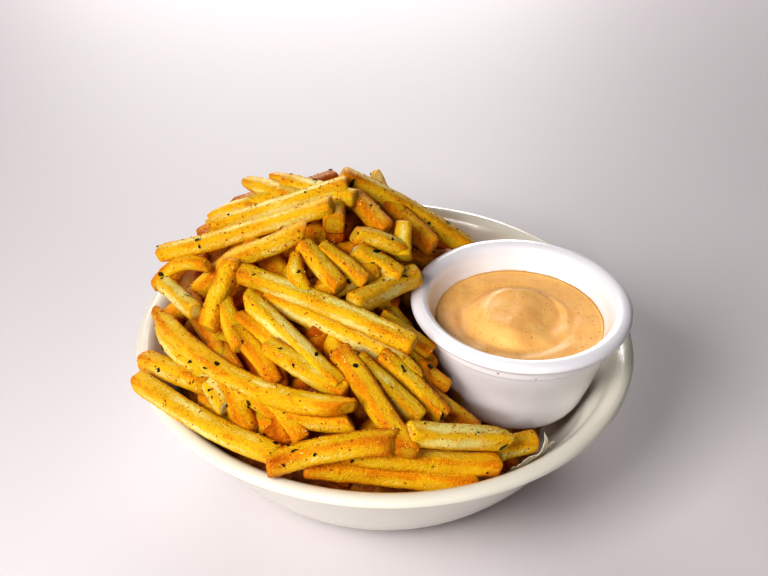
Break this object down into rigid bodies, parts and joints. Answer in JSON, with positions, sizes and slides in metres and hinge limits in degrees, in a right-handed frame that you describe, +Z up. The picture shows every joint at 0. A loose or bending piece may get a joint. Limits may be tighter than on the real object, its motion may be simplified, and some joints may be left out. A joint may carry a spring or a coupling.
{
  "type": "french fries portion",
  "caption": "Heap of seasoned straight-cut fries in a thick round ceramic bowl, with a ramekin of creamy dip set upright among them.",
  "frame": {"origin": "centre of the bowl's foot, on the table", "axes": "+Z up, +X towards the ramekin, +Y away from the side where the fries hang over the rim"},
  "size_m": [0.19, 0.19, 0.1087],
  "materials": {
    "bowl_glaze": "gloss",
    "fried_potato": "satin",
    "ramekin_glaze": "gloss",
    "dip": "satin",
    "paper": "matte"
  },
  "bodies": {
    "root": {"bowl": "bowl_glaze", "fries_heap": "fried_potato", "ramekin": "ramekin_glaze", "dip": "dip", "paper_liner": "paper"}
  },
  "joints": []
}
